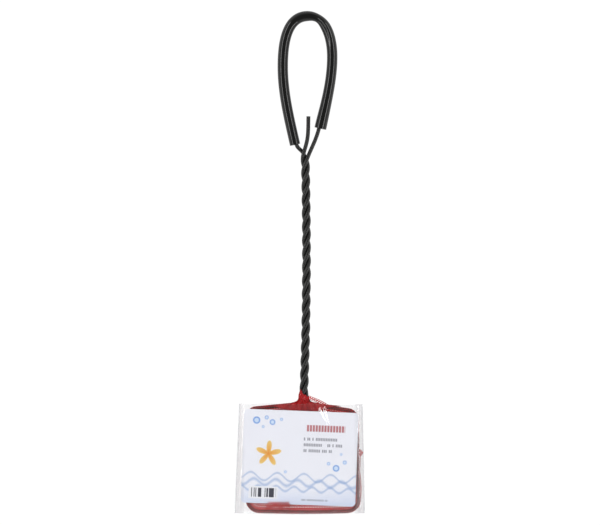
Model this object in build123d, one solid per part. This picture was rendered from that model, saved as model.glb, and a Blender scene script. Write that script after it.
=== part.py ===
from build123d import *
import math
import os

import numpy as np

os.makedirs("parts", exist_ok=True)

# Aquarium fish net lying flat: +Y runs up the handle, +Z is up, sizes in millimetres.
# The origin is on the table, in the middle of the hoop.

# Coated wire, bent in one length
CORE_DIAMETER = 1.6
COAT_WALL = 0.5
STRAND_GAP = 0.21
TWIST_LENGTH = 151.5
TWIST_PITCH = 26.0
STEPS_PER_TURN = 4
POINTS_PER_ARC = 12
# The handle bows to the right, and its upper end stands off the middle of the hoop
HANDLE_BOW = 1.2
HANDLE_DRIFT = 0.95

# Places of the three strands round the twist, in degrees from the top, at its upper end
STUB_PHASE = 260.0
RIGHT_PHASE = 20.0
LEFT_PHASE = 140.0
# Place of the right-hand strand at the foot of the twist
RIGHT_FOOT_PHASE = 100.0

# Finger loop, measured from the middle of the hoop and from the upper end of the twist
SLEEVE_DIAMETER = 6.9
SLEEVE_WALL = 0.95
SLEEVE_SEAT_GAP = 0.3
RIGHT_END = (10.75, 21.5)
RIGHT_WIDEST = (18.55, 68.4)
LOOP_TOP = (2.75, 95.0)
LEFT_WIDEST = (-13.75, 61.9)
LEFT_END = (-5.7, 10.9)
LEG_SPREAD = 12.7

# Stub of the wire inside the loop, and where it passes over the left leg
STUB_BEND = (2.2, 14.2)
STUB_TIP = (3.0, 29.5)
CROSSING = (-0.2, 5.2)
CROSSING_ROOM = 0.1
STUB_START_LEAN = 16.0
STUB_BEND_LEAN = 10.0
STUB_TIP_LEAN = 2.0
LEFT_LEG_LEAN = 26.0

# Hoop, its widths measured over the casing; it lies a little to the left at its bottom
HOOP_WIDTH = 76.2
HOOP_SHIFT = 0.4
LEFT_TOP_REACH = 37.8
RIGHT_TOP_REACH = 35.9
HOOP_BOTTOM_Y = -34.6
BOTTOM_BOW = 1.0
SHOULDER_Y = 36.2
LEFT_SLOPE = 5.5
RIGHT_SLOPE = 8.4
BOTTOM_CORNER_RADIUS = 8.0
LEFT_CORNER_RADIUS = 5.0
RIGHT_CORNER_RADIUS = 6.0
SHOULDER_START = 7.0
NECK_LENGTH = 6.8

# Netting
NET_WALL = 0.4
CASING_GAP = 0.1
SEAM_GAP = 0.15
BAND_WIDTH = 4.6
BAND_THICKNESS = 0.7
POCKET_DEPTH = 4.1
POCKET_SLOPE = 30.0
STITCH_LENGTH = 2.1
STITCH_SPACE = 0.9
STITCH_WIDTH = 0.5
STITCH_HEIGHT = 0.25
# Gather, from top to foot: rise over the shoulders, then how much wider and how much
# flatter than its neck
GATHER_PROFILE = ((7.6, 0.0, 0.0), (4.4, 0.9, 0.0), (2.2, 2.0, 0.2), (1.2, 5.6, 0.6))

# Packet and card
FILM_WALL = 0.15
WELD_WIDTH = 0.7
WELD_THICKNESS = 0.3
PACKET_SIDE_ROOM = 0.95
PACKET_EDGE_SLANT = 2.2
MOUTH_BELOW_SHOULDER = 0.2
FOLD_LENGTH = 4.0
CARD_WIDTH = 74.8
CARD_HEIGHT = 61.2
CARD_THICKNESS = 0.35
CARD_CORNER_RADIUS = 2.5
CARD_TURN = -2.2
CARD_CENTRE = (-2.7, 1.05)
LAY_GAP = 0.3
FLOOR_GAP = 0.1

# Sizes that follow from those above
WIRE_DIAMETER = CORE_DIAMETER + 2 * COAT_WALL
WIRE_RADIUS = WIRE_DIAMETER / 2
PART_TURN = (RIGHT_PHASE - RIGHT_FOOT_PHASE) / 360 % 1
TWIST_TURNS = round(TWIST_LENGTH / TWIST_PITCH - PART_TURN) + PART_TURN
TRUE_PITCH = TWIST_LENGTH / TWIST_TURNS
SLEEVE_BORE = SLEEVE_DIAMETER - 2 * SLEEVE_WALL
SLEEVE_OFFSET = (SLEEVE_BORE - WIRE_DIAMETER) / 2 - SLEEVE_SEAT_GAP
CASING_BORE_RADIUS = WIRE_RADIUS + CASING_GAP
CASING_RADIUS = CASING_BORE_RADIUS + NET_WALL
BAND_INSET = CASING_RADIUS + SEAM_GAP
CROSSING_HALF_HEIGHT = (WIRE_DIAMETER + STRAND_GAP) / 2 + CROSSING_ROOM


def strand_radius():
    """Radius of the strands' centre line, so that three twisted strands lie STRAND_GAP apart."""
    spacing = WIRE_DIAMETER + STRAND_GAP
    radius = spacing / math.sqrt(3)
    turn = np.linspace(-1, 1, 401)
    for _ in range(8):
        across = 2 * radius**2 * (1 - np.cos(2 * math.pi / 3 + turn))
        along = (TRUE_PITCH * turn / (2 * math.pi)) ** 2
        radius *= spacing / float(np.sqrt(across + along).min())
    return radius


STRAND_RADIUS = strand_radius()
GATHER_RADIUS = STRAND_RADIUS + WIRE_RADIUS + SEAM_GAP + NET_WALL
HANDLE_Z = max(SLEEVE_DIAMETER / 2, GATHER_RADIUS) + FLOOR_GAP
BAND_Z = FILM_WALL + LAY_GAP + NET_WALL + POCKET_DEPTH
HOOP_Z = BAND_Z + BAND_THICKNESS / 2
TWIST_FOOT_Y = SHOULDER_Y + NECK_LENGTH
TWIST_TOP_Y = TWIST_FOOT_Y + TWIST_LENGTH
NET_TOP_Z = max(HANDLE_Z + GATHER_RADIUS, HOOP_Z + CASING_RADIUS)
CARD_Z = NET_TOP_Z + LAY_GAP
PACKET_TOP_Z = CARD_Z + CARD_THICKNESS + LAY_GAP + FILM_WALL
PACKET_MOUTH_Y = SHOULDER_Y - MOUTH_BELOW_SHOULDER
FOLD_HEIGHT = 2 * (CASING_RADIUS + LAY_GAP + FILM_WALL)


def heading(angle):
    """Unit vector in the XY plane, measured from +X."""
    return Vector(math.cos(math.radians(angle)), math.sin(math.radians(angle)), 0)


def biarc(start, finish):
    """Two arcs, or lines, that leave one station and reach the next along their tangents."""
    first, leaving = start
    last, arriving = finish
    chord = last - first
    bend = 2 * (1 - leaving.dot(arriving))
    lean = 2 * chord.dot(leaving + arriving)
    if bend < 1e-9:
        reach = chord.dot(chord) / lean
    else:
        reach = (math.sqrt(lean**2 + 4 * bend * chord.dot(chord)) - lean) / (2 * bend)
    knee_in = first + leaving * reach
    knee_out = last - arriving * reach
    middle = (knee_in + knee_out) / 2
    through = (knee_out - knee_in).normalized()
    edges = []
    for begin, tangent, end in ((first, leaving, middle), (middle, through, last)):
        if (end - begin).normalized().cross(tangent).length < 1e-6:
            edges.append(Edge.make_line(begin, end))
        else:
            edges.append(Edge.make_tangent_arc(begin, tangent, end))
    return edges


def edges_through(stations):
    """The edges that join a list of (point, tangent) stations."""
    return [edge for pair in zip(stations, stations[1:]) for edge in biarc(*pair)]


def reverse(stations):
    """The same stations, walked the other way."""
    return [(point, tangent * -1) for point, tangent in reversed(stations)]


def strand(phase):
    """Stations of one strand of the right-handed twist, from its foot to its top.

    The twist's own middle line is a parabola, HANDLE_BOW high, that ends HANDLE_DRIFT to the right.
    """
    steps = round(TWIST_TURNS * STEPS_PER_TURN)
    stations = []
    for step in range(steps + 1):
        share = step / steps
        turns = TWIST_TURNS * share
        middle = HANDLE_DRIFT * share + 4 * HANDLE_BOW * share * (1 - share)
        drift = (HANDLE_DRIFT + 4 * HANDLE_BOW * (1 - 2 * share)) / TWIST_TURNS
        angle = math.radians(phase) + 2 * math.pi * (turns - TWIST_TURNS)
        across = STRAND_RADIUS * math.sin(angle)
        above = STRAND_RADIUS * math.cos(angle)
        point = Vector(middle + across, TWIST_FOOT_Y + TRUE_PITCH * turns, HANDLE_Z + above)
        tangent = Vector(drift + 2 * math.pi * above, TRUE_PITCH, -2 * math.pi * across).normalized()
        stations.append((point, tangent))
    return stations


def loop_stations():
    """Stations of the wire inside the sleeve, from the right leg over the top to the left leg."""
    places = (
        (RIGHT_END, 90 - LEG_SPREAD),
        (RIGHT_WIDEST, 90),
        (LOOP_TOP, 180),
        (LEFT_WIDEST, 270),
        (LEFT_END, 270 + LEG_SPREAD),
    )
    stations = []
    for (x, y), angle in places:
        inward = heading(angle + 90)
        point = Vector(x, TWIST_TOP_Y + y, HANDLE_Z) + inward * SLEEVE_OFFSET
        stations.append((point, heading(angle)))
    return stations


def above_twist(place, lift, lean):
    """Station over the upper end of the twist, leaning that far to the right of straight up."""
    x, y = place
    return (Vector(x, TWIST_TOP_Y + y, HANDLE_Z + lift), heading(90 - lean))


def stub_strand():
    """Stations of the strand that ends as the stub inside the loop, from foot to tip."""
    return strand(STUB_PHASE) + [
        above_twist(CROSSING, CROSSING_HALF_HEIGHT, STUB_START_LEAN),
        above_twist(STUB_BEND, CROSSING_HALF_HEIGHT, STUB_BEND_LEAN),
        above_twist(STUB_TIP, CROSSING_HALF_HEIGHT, STUB_TIP_LEAN),
    ]


def left_strand():
    """Stations of the strand below the left leg, from its cut end in the gather upwards."""
    return strand(LEFT_PHASE) + [above_twist(CROSSING, -CROSSING_HALF_HEIGHT, -LEFT_LEG_LEAN)]


def mirrored(vector):
    """The vector on the other side of the YZ plane."""
    return Vector(-vector.X, vector.Y, vector.Z)


def hoop_side(across, top_reach, slope, corner_radius):
    """Stations of the left (-1) or right (+1) half of the hoop, from its shoulder to its bottom."""
    half_top = top_reach - CASING_RADIUS
    top_y = SHOULDER_Y - half_top * math.tan(math.radians(slope))
    bottom_y = HOOP_BOTTOM_Y + BOTTOM_BOW
    side_height = top_y - bottom_y - BOTTOM_CORNER_RADIUS
    bottom_reach = HOOP_WIDTH / 2 - across * HOOP_SHIFT
    side_lean = math.degrees(math.atan((bottom_reach - top_reach) / side_height))
    half_bottom = half_top + (top_y - bottom_y) * math.tan(math.radians(side_lean))
    shoulder_angle = 180 + slope
    side_angle = 270 - side_lean
    bottom_angle = 360 - math.degrees(math.atan(BOTTOM_BOW / half_bottom))
    corner_top = Vector(-half_top, top_y, HOOP_Z)
    corner_bottom = Vector(-half_bottom, bottom_y, HOOP_Z)
    cut_top = corner_radius * math.tan(math.radians(side_angle - shoulder_angle) / 2)
    cut_bottom = BOTTOM_CORNER_RADIUS * math.tan(math.radians(bottom_angle - side_angle) / 2)
    start_drop = SHOULDER_START * math.tan(math.radians(slope))
    stations = [
        (Vector(-SHOULDER_START, SHOULDER_Y - start_drop, HANDLE_Z), heading(shoulder_angle)),
        (corner_top - heading(shoulder_angle) * cut_top, heading(shoulder_angle)),
        (corner_top + heading(side_angle) * cut_top, heading(side_angle)),
        (corner_bottom - heading(side_angle) * cut_bottom, heading(side_angle)),
        (corner_bottom + heading(bottom_angle) * cut_bottom, heading(bottom_angle)),
    ]
    if across < 0:
        return stations
    return [(mirrored(point), mirrored(tangent)) for point, tangent in stations]


def hoop_stations():
    """Stations of the hoop, from the left shoulder round the bottom to the right shoulder."""
    left = hoop_side(-1, LEFT_TOP_REACH, LEFT_SLOPE, LEFT_CORNER_RADIUS)
    right = hoop_side(1, RIGHT_TOP_REACH, RIGHT_SLOPE, RIGHT_CORNER_RADIUS)
    return left + reverse(right)


def wire_stations():
    """The whole wire: stub, strand, hoop, strand, finger loop and the last strand."""
    return (
        reverse(stub_strand())
        + hoop_stations()
        + strand(RIGHT_PHASE)
        + loop_stations()
        + reverse(left_strand())
    )


def swept(path, profile):
    """A flat profile, drawn about the origin, carried along a path."""
    return sweep(Plane(origin=path @ 0, x_dir=(0, 0, 1), z_dir=path % 0) * profile, path=path)


def ring(outer, inner):
    """The flat face between two nested circles."""
    return Circle(outer) - Circle(inner)


def least_gap(path, diameter):
    """Least distance from the wire's skin to itself, on points along its centre line."""
    shares = [step / POINTS_PER_ARC for step in range(POINTS_PER_ARC)]
    points = np.array([tuple(edge @ share) for edge in path.edges() for share in shares])
    along = np.cumsum(np.linalg.norm(np.diff(points, axis=0, prepend=points[:1]), axis=1))
    apart = np.linalg.norm(points[:, None] - points[None], axis=2)
    neighbours = np.abs(along[:, None] - along[None]) < 4 * diameter
    return float(apart[~neighbours].min()) - diameter


def make_sleeve():
    """Vinyl tube over the finger loop; the wire lies against the inner side of its bore."""
    tube = Pos(0, SLEEVE_OFFSET) * ring(SLEEVE_DIAMETER / 2, SLEEVE_BORE / 2)
    return swept(Wire(edges_through(loop_stations())), tube)


def make_casing():
    """Hem folded round the hoop wire, from shoulder to shoulder."""
    return swept(Wire(edges_through(hoop_stations())), ring(CASING_RADIUS, CASING_BORE_RADIUS))


def hoop_face(inset):
    """The hoop's plan, closed across the neck and drawn in by an inset."""
    corners = [(Vector(point.X, point.Y, 0), tangent) for point, tangent in hoop_stations()]
    across_neck = Edge.make_line(corners[-1][0], corners[0][0])
    return offset(make_face(edges_through(corners) + [across_neck]), amount=-inset)


def make_band():
    """Flat double ply of the hem, inside the hoop."""
    flat = hoop_face(BAND_INSET) - hoop_face(BAND_INSET + BAND_WIDTH)
    return Pos(0, 0, BAND_Z) * extrude(flat, BAND_THICKNESS)


def make_stitches():
    """Row of straight stitches lying on the band."""
    line = hoop_face(BAND_INSET + BAND_WIDTH / 2).face().outer_wire()
    count = int(line.length // (STITCH_LENGTH + STITCH_SPACE))
    on_band = (Align.CENTER, Align.CENTER, Align.MIN)
    stitch = Box(STITCH_LENGTH, STITCH_WIDTH, STITCH_HEIGHT, align=on_band)
    stitches = []
    for step in range(count):
        place = line @ (step / count)
        origin = (place.X, place.Y, BAND_Z + BAND_THICKNESS)
        stitches.append(Plane(origin=origin, x_dir=line % (step / count), z_dir=(0, 0, 1)) * stitch)
    return Compound(stitches)


def make_pocket():
    """Collapsed pocket: a shallow dish hanging from the band."""
    dish = extrude(hoop_face(BAND_INSET), -POCKET_DEPTH - NET_WALL, taper=POCKET_SLOPE)
    hollow = extrude(hoop_face(BAND_INSET + NET_WALL), -POCKET_DEPTH, taper=POCKET_SLOPE)
    return Pos(0, 0, BAND_Z) * (dish - hollow)


def gather_block(inset):
    """Solid trumpet of the gather, drawn in by an inset."""
    sections = []
    for rise, wider, flatter in GATHER_PROFILE:
        level = Plane(origin=(0, SHOULDER_Y + rise, HANDLE_Z), x_dir=(1, 0, 0), z_dir=(0, 1, 0))
        radius = GATHER_RADIUS - inset
        sections.append(level * Ellipse(radius + wider, radius - flatter))
    return loft(sections, ruled=True)


def make_gather():
    """Netting gathered round the foot of the twist."""
    return gather_block(0) - gather_block(NET_WALL)


def card_corner(across, up):
    """A corner of the card in plan, across and up being -1 or +1, with its rounding left off."""
    corner = Vector(across * CARD_WIDTH / 2, up * CARD_HEIGHT / 2).rotate(Axis.Z, CARD_TURN)
    return corner + Vector(*CARD_CENTRE)


def card_edge(across, y):
    """Where the card's left (-1) or right (+1) edge, drawn on both ways, crosses a height."""
    low = card_corner(across, -1)
    high = card_corner(across, 1)
    return low.X + (high.X - low.X) * (y - low.Y) / (high.Y - low.Y)


CARD_BOTTOM_Y = min(card_corner(-1, -1).Y, card_corner(1, -1).Y)
PACKET_ROOM_Y = min(HOOP_BOTTOM_Y - CASING_RADIUS, CARD_BOTTOM_Y - FOLD_LENGTH) - LAY_GAP
PACKET_BASE_Y = PACKET_ROOM_Y - FILM_WALL


def packet_side(across, y):
    """Inner left (-1) or right (+1) edge of the packet, clear of the card and of the hoop."""
    past_card = across * card_edge(across, y) + PACKET_EDGE_SLANT
    past_hoop = HOOP_WIDTH / 2 + max(0, -across * HOOP_SHIFT)
    return across * (max(past_card, past_hoop) + PACKET_SIDE_ROOM)


def packet_plan(height, slant, foot, mouth, wall):
    """Four-sided plan of the packet at a height, its sides drawn in by a slant, outside a wall."""
    points = []
    for across, y in ((-1, foot), (1, foot), (1, mouth), (-1, mouth)):
        points.append((packet_side(across, y) + across * (wall - slant), y))
    return Pos(0, 0, height) * make_face(Polyline(*points, close=True))


def packet_block(wall, beyond):
    """The room inside the packet, or with a wall its outer form, as far as beyond its mouth.

    Seen from the side it tapers to a fold at its foot, and seen from the mouth its edges slant
    out to the height of the hoop.
    """
    half_fold = FOLD_HEIGHT / 2 - FILM_WALL + wall
    low = FILM_WALL - wall
    high = PACKET_TOP_Z - FILM_WALL + wall
    fold_foot = PACKET_ROOM_Y - wall
    flat_foot = PACKET_ROOM_Y + FOLD_LENGTH
    levels = (
        (low, PACKET_EDGE_SLANT, flat_foot),
        (HOOP_Z - half_fold, PACKET_EDGE_SLANT * half_fold / (HOOP_Z - low), fold_foot),
        (HOOP_Z, 0, fold_foot),
        (HOOP_Z + half_fold, PACKET_EDGE_SLANT * half_fold / (high - HOOP_Z), fold_foot),
        (high, PACKET_EDGE_SLANT, flat_foot),
    )
    mouth = PACKET_MOUTH_Y + beyond
    plans = [packet_plan(height, slant, foot, mouth, wall) for height, slant, foot in levels]
    return loft(plans, ruled=True)


def weld_strip(across):
    """Flat weld along the left (-1) or right (+1) side of the packet, rooted in its wall."""
    strip = []
    for y, reach in ((PACKET_BASE_Y, 0), (PACKET_MOUTH_Y, 0), (PACKET_MOUTH_Y, 1), (PACKET_BASE_Y, 1)):
        strip.append((packet_side(across, y) + across * (FILM_WALL + WELD_WIDTH) * reach, y))
    flat = extrude(make_face(Polyline(*strip, close=True)), WELD_THICKNESS)
    return Pos(0, 0, HOOP_Z - WELD_THICKNESS / 2) * flat


def make_packet():
    """Clear packet: folded at its foot, welded down both sides and open towards the handle."""
    film = packet_block(FILM_WALL, 0) - packet_block(0, LAY_GAP)
    return film + weld_strip(-1) + weld_strip(1)


def make_card():
    """Printed card lying on the net."""
    face = RectangleRounded(CARD_WIDTH, CARD_HEIGHT, CARD_CORNER_RADIUS)
    return Pos(*CARD_CENTRE, CARD_Z) * Rot(0, 0, CARD_TURN) * extrude(face, CARD_THICKNESS)


wire_path = Wire(edges_through(wire_stations()))
wire_core = swept(wire_path, Circle(CORE_DIAMETER / 2))
wire_coating = swept(wire_path, Circle(WIRE_RADIUS)) - wire_core
section_times_length = math.pi / 4 * CORE_DIAMETER**2 * wire_path.length
radii = [edge.radius for edge in wire_path.edges() if edge.geom_type == GeomType.CIRCLE]
print("wire length", round(wire_path.length, 1), "tightest bend", round(min(radii), 2))
print("core volume over its section times length", round(wire_core.volume / section_times_length, 6))
print("least gap of the wire to itself", round(least_gap(wire_path, WIRE_DIAMETER), 3))

nodes = {
    "wire_core": wire_core,
    "wire_coating": wire_coating,
    "grip_sleeve": make_sleeve(),
    "rim_casing": make_casing(),
    "hem_band": make_band(),
    "hem_stitches": make_stitches(),
    "net_pocket": make_pocket(),
    "neck_gather": make_gather(),
    "packet_film": make_packet(),
    "insert_card": make_card(),
}
for name, solid in nodes.items():
    export_step(solid, f"parts/{name}.step")
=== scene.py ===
# %% [markdown]
# # An aquarium net in its packet
#
# A small fish net is one bent wire, a vinyl tube on the finger loop, a sewn bag of red netting and, as
# it is sold, a clear packet with a card over the head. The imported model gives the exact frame. This
# lesson dresses it: each soft or bent piece is a surface worked out with numpy, in millimetres.

import bpy
import numpy as np
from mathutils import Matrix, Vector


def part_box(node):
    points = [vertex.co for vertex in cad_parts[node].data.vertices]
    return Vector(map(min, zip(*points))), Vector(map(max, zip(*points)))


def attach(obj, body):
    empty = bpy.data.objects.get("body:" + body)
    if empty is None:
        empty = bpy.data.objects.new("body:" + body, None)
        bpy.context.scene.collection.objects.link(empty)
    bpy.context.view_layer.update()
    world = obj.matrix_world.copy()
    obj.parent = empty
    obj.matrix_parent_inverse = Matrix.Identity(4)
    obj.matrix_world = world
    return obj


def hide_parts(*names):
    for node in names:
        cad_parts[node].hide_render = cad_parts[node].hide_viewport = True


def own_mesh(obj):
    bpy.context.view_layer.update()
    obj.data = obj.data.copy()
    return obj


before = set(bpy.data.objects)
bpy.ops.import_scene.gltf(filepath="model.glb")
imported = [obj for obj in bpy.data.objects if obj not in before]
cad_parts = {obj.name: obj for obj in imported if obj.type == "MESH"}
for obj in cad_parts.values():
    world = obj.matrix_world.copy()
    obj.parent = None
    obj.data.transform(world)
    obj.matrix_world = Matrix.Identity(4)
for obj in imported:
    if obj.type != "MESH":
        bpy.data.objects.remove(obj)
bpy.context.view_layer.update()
scene = bpy.context.scene
MM = 0.001

# %% [markdown]
# ## Camera
#
# The net lies flat and is seen from straight above. A long lens far away keeps the handle as narrow at
# one end as at the other. The lens follows from the width of table that the picture takes in.

# %% Camera straight above
PICTURE_WIDTH = 600
MM_PER_PIXEL = 0.654
VIEW_CENTRE = (-2.5, 128.5)
CAMERA_HEIGHT = 4000.0
SENSOR_WIDTH = 36.0

camera_data = bpy.data.cameras.new("camera")
camera_data.sensor_width = SENSOR_WIDTH
camera_data.lens = SENSOR_WIDTH * CAMERA_HEIGHT / (PICTURE_WIDTH * MM_PER_PIXEL)
camera = bpy.data.objects.new("camera", camera_data)
camera.location = (VIEW_CENTRE[0] * MM, VIEW_CENTRE[1] * MM, CAMERA_HEIGHT * MM)
scene.collection.objects.link(camera)
scene.camera = camera
print("lens in mm", round(camera_data.lens, 1))

# %% [markdown]
# ## A recipe for finishes, and a helper for pieces
#
# Every finish is a small tree of nodes. Adding nodes by hand takes many lines, so one short class adds
# a node, sets or links its inputs and hands back an output. A second helper turns an array of points
# and an array of faces into a piece that rides on a body of the frame.

# %% Helpers for finishes and pieces
class Finish:
    """A material, or the sky, and the few calls that build its node tree."""

    def __init__(self, name, sky=False):
        self.made = bpy.data.worlds.new(name) if sky else bpy.data.materials.new(name)
        self.made.use_nodes = True
        self.tree = self.made.node_tree
        self.surface = self.tree.nodes["Background" if sky else "Principled BSDF"]
        self.place = self.add("ShaderNodeTexCoord", output="Generated" if sky else "Object")

    def put(self, socket, value):
        """Links an output to a socket, or sets the socket to a plain value."""
        if isinstance(value, bpy.types.NodeSocket):
            self.tree.links.new(value, socket)
        else:
            socket.default_value = value

    def add(self, kind, *values, output=0, settings=None, **inputs):
        """A node with its settings, and its inputs in order or by name; _ in a name stands for a space."""
        node = self.tree.nodes.new(kind)
        for name, value in (settings or {}).items():
            setattr(node, name, value)
        for socket, value in zip(node.inputs, values):
            self.put(socket, value)
        for name, value in inputs.items():
            self.put(node.inputs[name.replace("_", " ")], value)
        return node.outputs[output]

    def sum(self, operation, *values):
        """A Math node on up to three values."""
        return self.add("ShaderNodeMath", *values, settings={"operation": operation})

    def ramp(self, value, low, high, low_out=0.0, high_out=1.0):
        """A value stretched so that low becomes low_out and high becomes high_out, and held there."""
        return self.add("ShaderNodeMapRange", value, low, high, low_out, high_out)

    def mix(self, share, first, second):
        """One shader laid over another by a share."""
        return self.add("ShaderNodeMixShader", share, first, second)

    def blend(self, share, first, second):
        """One colour laid over another by a share."""
        node = self.tree.nodes.new("ShaderNodeMix")
        node.data_type = "RGBA"
        self.put(node.inputs[0], share)
        self.put(node.inputs[6], first)
        self.put(node.inputs[7], second)
        return node.outputs[2]

    def noise(self, scale, detail):
        """Noise with that many lumps per metre."""
        return self.add("ShaderNodeTexNoise", output="Fac", Vector=self.place, Scale=scale, Detail=detail)

    def bump(self, height, depth):
        """Small relief of that depth in metres."""
        normal = self.add("ShaderNodeBump", Height=height, Distance=depth, Strength=1.0)
        self.put(self.surface.inputs["Normal"], normal)

    def set(self, **inputs):
        """Inputs of the main shader; _ in a name stands for a space."""
        for name, value in inputs.items():
            self.put(self.surface.inputs[name.replace("_", " ")], value)


def grid_faces(rows, columns, rows_close=False, columns_close=False):
    """Faces of a grid of points: each joins a point to its neighbours in the next row and column."""
    row = np.arange(rows if rows_close else rows - 1)[:, None]
    column = np.arange(columns if columns_close else columns - 1)[None]
    next_row = (row + 1) % rows
    next_column = (column + 1) % columns
    corners = ((row, column), (next_row, column), (next_row, next_column), (row, next_column))
    joined = [np.broadcast_arrays(r * columns + c, row + column)[0] for r, c in corners]
    return np.stack(joined, axis=-1).reshape(-1, 4)


SHARP_EDGE = np.radians(50)


def add_piece(name, points, faces, finish, body, slot, instead_of=(), wall=0):
    """A piece at the origin from points in millimetres, riding on a body of the frame.

    A sheet gets its wall, half to each side.
    """
    mesh = bpy.data.meshes.new(name)
    mesh.from_pydata(points.reshape(-1, 3) * MM, [], faces)
    mesh.polygons.foreach_set("use_smooth", np.ones(len(mesh.polygons), dtype=bool))
    mesh.set_sharp_from_angle(angle=SHARP_EDGE)
    mesh.materials.append(finish)
    piece = bpy.data.objects.new(name, mesh)
    scene.collection.objects.link(piece)
    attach(piece, body)
    if instead_of:
        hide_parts(*instead_of)
    if wall:
        solid = piece.modifiers.new("wall", "SOLIDIFY")
        solid.thickness = wall * MM
        solid.offset = 0.0
    print(name, len(mesh.vertices), "points", len(mesh.polygons), "faces")
    return piece


def middle_height(node):
    """Height of the middle of one of the frame's solids."""
    low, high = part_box(node)
    return float(low.z + high.z) / 2 / MM


def refinish(node, finish):
    """Gives a solid of the frame another finish."""
    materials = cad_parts[node].data.materials
    materials.clear()
    materials.append(finish)


# %% [markdown]
# ## Floor and light
#
# The picture is a catalogue shot on a bright white sweep: no shadow shows. The floor therefore glows
# evenly and hardly catches light. Two long softboxes stand left and right of the handle, 44 degrees
# down from the camera, because the glossy tube shows one thin streak on each side of its middle. The
# sky is dark overhead, so that the black pieces stay black between those streaks.

# %% Floor, sky and softboxes
FLOOR_DEPTH = 0.3
FLOOR_REACH = 4000.0
BOX_ANGLE = np.radians(44)
BOX_DISTANCE = 1.2
BOX_WIDTH = 0.24
BOX_LENGTH = 1.7
BOX_POWER = 7.4
SKY_LOW, SKY_HIGH = 1.3, 0.26
SKY_DARK_FROM = 0.85

paper = Finish("white_sweep")
paper.set(Base_Color=(0.02, 0.02, 0.02, 1), Roughness=0.9)
paper.set(Emission_Color=(1, 1, 1, 1), Emission_Strength=1.0)
corner = np.array([-1.0, 1.0]) * FLOOR_REACH
floor_points = np.stack([*np.meshgrid(corner, corner), np.full((2, 2), -FLOOR_DEPTH)], axis=-1)
floor_mesh = bpy.data.meshes.new("floor")
floor_mesh.from_pydata(floor_points.reshape(-1, 3) * MM, [], [(0, 1, 3, 2)])
floor_mesh.materials.append(paper.made)
floor = bpy.data.objects.new("floor", floor_mesh)
scene.collection.objects.link(floor)

for side, name in ((-1, "left_softbox"), (1, "right_softbox")):
    lamp = bpy.data.lights.new(name, "AREA")
    lamp.shape = "RECTANGLE"
    lamp.size = BOX_WIDTH
    lamp.size_y = BOX_LENGTH
    lamp.energy = BOX_POWER
    softbox = bpy.data.objects.new(name, lamp)
    across = side * BOX_DISTANCE * np.sin(BOX_ANGLE)
    softbox.location = (across, VIEW_CENTRE[1] * MM, BOX_DISTANCE * np.cos(BOX_ANGLE))
    softbox.rotation_euler = (0, side * BOX_ANGLE, 0)
    scene.collection.objects.link(softbox)

sky = Finish("studio", sky=True)
upward = sky.add("ShaderNodeSeparateXYZ", output="Z", Vector=sky.place)
sky.set(Color=(1, 1, 1, 1), Strength=sky.ramp(upward, 0.0, SKY_DARK_FROM, SKY_LOW, SKY_HIGH))
scene.world = sky.made
scene.view_settings.view_transform = "Standard"
print("softboxes at", round(np.degrees(BOX_ANGLE)), "degrees")

# %% [markdown]
# ## The wire's line
#
# The wire is one length: it starts as a stub inside the finger loop, goes down the twist, round the
# hoop, up the twist, over the loop and down the twist again. Its route is a list of stations, each a
# point and a direction, as a wire bender would set them. A cubic curve joins two stations.

# %% Stations of the wire
WIRE_RADIUS = 1.3
CORE_RADIUS = 0.8
HANDLE_Z = middle_height("grip_sleeve")
HOOP_Z = middle_height("hem_band")
TWIST_FOOT = 43.0
TWIST_TOP = 194.5
TWIST_TURNS = 5 + 7 / 9
STRAND_RADIUS = 1.658
STRAND_GAP = 0.21
HANDLE_BOW, HANDLE_DRIFT = 1.2, 0.95
CROSSING_HALF_HEIGHT = WIRE_RADIUS + STRAND_GAP / 2 + 0.1
STUB_PHASE, RIGHT_PHASE, LEFT_PHASE = 260, 20, 140
SLEEVE_OFFSET = 0.9


def unit(vectors):
    """Vectors of length one."""
    return vectors / np.linalg.norm(vectors, axis=-1, keepdims=True)


def heading(degrees):
    """Direction in the plane of the table, measured from +X."""
    return np.array([np.cos(np.radians(degrees)), np.sin(np.radians(degrees)), 0.0])


def strand(phase):
    """Stations of a strand: x = m + R sin a, z = R cos a, and a grows by a turn with each pitch of y.

    The middle m is a parabola, because the handle bows a little to the right.
    """
    share = np.linspace(0, 1, round(4 * TWIST_TURNS) + 1)
    turns = TWIST_TURNS * share
    pitch = (TWIST_TOP - TWIST_FOOT) / TWIST_TURNS
    middle = HANDLE_DRIFT * share + 4 * HANDLE_BOW * share * (1 - share)
    drift = (HANDLE_DRIFT + 4 * HANDLE_BOW * (1 - 2 * share)) / TWIST_TURNS
    angle = np.radians(phase) + 2 * np.pi * (turns - TWIST_TURNS)
    across = STRAND_RADIUS * np.sin(angle)
    above = STRAND_RADIUS * np.cos(angle)
    points = np.stack([middle + across, TWIST_FOOT + pitch * turns, HANDLE_Z + above], axis=1)
    slopes = np.stack([drift + 2 * np.pi * above, np.full(len(turns), pitch), -2 * np.pi * across], axis=1)
    return list(zip(points, unit(slopes)))


def above_twist(x, y, lift, angle):
    """Station over the upper end of the twist."""
    return (np.array([x, TWIST_TOP + y, HANDLE_Z + lift]), heading(angle))


def backwards(stations):
    """The same stations walked the other way."""
    return [(point, -tangent) for point, tangent in reversed(stations)]


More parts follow.
